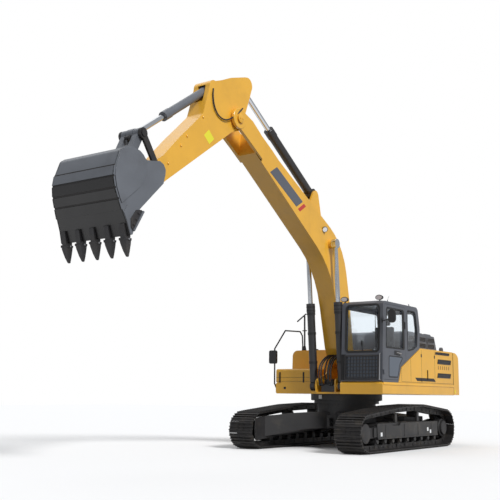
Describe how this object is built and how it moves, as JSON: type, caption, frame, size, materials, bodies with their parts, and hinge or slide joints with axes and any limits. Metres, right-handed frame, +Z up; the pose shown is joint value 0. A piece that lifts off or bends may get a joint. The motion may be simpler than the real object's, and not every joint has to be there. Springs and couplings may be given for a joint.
{
  "type": "crawler excavator",
  "caption": "Crawler excavator with slewing house, hollow cab with hinged door, bent boom, arm, toothed bucket and linked cylinders.",
  "frame": {"origin": "on the ground under the middle of the whole machine's length and width, as it stands in the pose shown", "axes": "+X forward along the tracks towards the bucket, +Y to the cab side, +Z up"},
  "size_m": [12.168, 3.3656, 7.4029],
  "materials": {
    "yellow": "gloss",
    "black": "satin",
    "track_steel": "rough",
    "cab_grey": "satin",
    "glass": "clear",
    "seat_fabric": "woven",
    "chrome": "polished",
    "bucket_grey": "satin",
    "mirror_black": "satin",
    "lamp": "clear",
    "engine_iron": "cast"
  },
  "bodies": {
    "undercarriage": {"centre_frame": "black", "track_frame_left": "black", "track_frame_right": "black", "track_left": "track_steel", "track_right": "track_steel", "idlers": "black", "sprockets": "black", "rollers": "black"},
    "house": {"slew_ring": "black", "deck": "yellow", "boom_mount": "yellow", "counterweight": "yellow", "hood_left": "yellow", "hood_core": "yellow", "engine_cover": "black", "engine": "engine_iron", "tool_box": "yellow", "tank": "yellow", "handrail": "black", "mirrors": "mirror_black", "lamps": "lamp", "cab_shell": "cab_grey", "cab_glass": "glass", "seat": "seat_fabric"},
    "door": {"cab_door": "cab_grey", "door_glass": "glass"},
    "boom": {"boom": "yellow"},
    "boom_barrels": {"boom_barrels": "black"},
    "boom_rods": {"boom_rods": "chrome"},
    "arm_barrel": {"arm_barrel": "black"},
    "arm_rod": {"arm_rod": "chrome"},
    "arm": {"arm": "yellow"},
    "bucket_barrel": {"bucket_barrel": "black"},
    "bucket_rod": {"bucket_rod": "chrome"},
    "side_links": {"side_links": "black"},
    "bucket_link": {"bucket_link": "black"},
    "bucket": {"bucket": "bucket_grey", "teeth": "bucket_grey"}
  },
  "joints": [
    {"name": "slew", "type": "hinge", "parent": "undercarriage", "child": "house", "pos_m": [-2.56, 0, 1.05], "axis": [0, 0, 1], "continuous": true},
    {"name": "boom_lift", "type": "hinge", "parent": "house", "child": "boom", "pos_m": [-2.463, 0, 1.945], "axis": [0, -1, 0], "range_deg": [-71, 23]},
    {"name": "arm_swing", "type": "hinge", "parent": "boom", "child": "arm", "pos_m": [2.178, 0, 6.431], "axis": [0, 1, 0], "range_deg": [-53, 70]},
    {"name": "bucket_curl", "type": "hinge", "parent": "arm", "child": "bucket", "pos_m": [4.79, 0, 4.53], "axis": [0, 1, 0], "range_deg": [-52, 108]},
    {"name": "door_open", "type": "hinge", "parent": "house", "child": "door", "pos_m": [-1.494, 1.478, 2.3], "axis": [0, 0, -1], "range_deg": [0, 85]},
    {"name": "boom_barrel_turn", "type": "hinge", "parent": "house", "child": "boom_barrels", "pos_m": [-1.704, 0, 1.36], "axis": [0, -1, 0], "range_deg": [-67, 22]},
    {"name": "boom_rod_slide", "type": "slide", "parent": "boom_barrels", "child": "boom_rods", "axis": [0.0835, 0, 0.9965], "range_m": [-1.13, 0.37]},
    {"name": "arm_barrel_turn", "type": "hinge", "parent": "boom", "child": "arm_barrel", "pos_m": [-0.935, 0, 5.589], "axis": [0, 1, 0], "range_deg": [-4, 5]},
    {"name": "arm_rod_slide", "type": "slide", "parent": "arm_barrel", "child": "arm_rod", "axis": [0.8541, 0, 0.5202], "range_m": [-0.72, 0.95]},
    {"name": "bucket_barrel_turn", "type": "hinge", "parent": "arm", "child": "bucket_barrel", "pos_m": [2.896, 0, 6.847], "axis": [0, 1, 0], "range_deg": [-2, 4]},
    {"name": "bucket_rod_slide", "type": "slide", "parent": "bucket_barrel", "child": "bucket_rod", "axis": [0.8134, 0, -0.5817], "range_m": [-0.37, 0.75]},
    {"name": "side_link_turn", "type": "hinge", "parent": "arm", "child": "side_links", "pos_m": [4.494, 0, 4.909], "axis": [0, 1, 0], "range_deg": [-38, 78]},
    {"name": "bucket_link_turn", "type": "hinge", "parent": "bucket", "child": "bucket_link", "pos_m": [5.185, 0, 4.803], "axis": [0, 1, 0], "range_deg": [-71, 35]}
  ],
  "couplings": [
    {"joint": "boom_barrel_turn", "follows": "boom_lift", "ratio": 0.94},
    {"joint": "boom_rod_slide", "follows": "boom_lift", "m_per_rad": 0.9003},
    {"joint": "arm_barrel_turn", "follows": "arm_swing", "ratio": 0.06},
    {"joint": "arm_rod_slide", "follows": "arm_swing", "m_per_rad": 0.7668},
    {"joint": "bucket_barrel_turn", "follows": "bucket_curl", "ratio": 0.03},
    {"joint": "bucket_rod_slide", "follows": "bucket_curl", "m_per_rad": 0.3884},
    {"joint": "side_link_turn", "follows": "bucket_curl", "ratio": 0.71},
    {"joint": "bucket_link_turn", "follows": "bucket_curl", "ratio": -0.65}
  ]
}
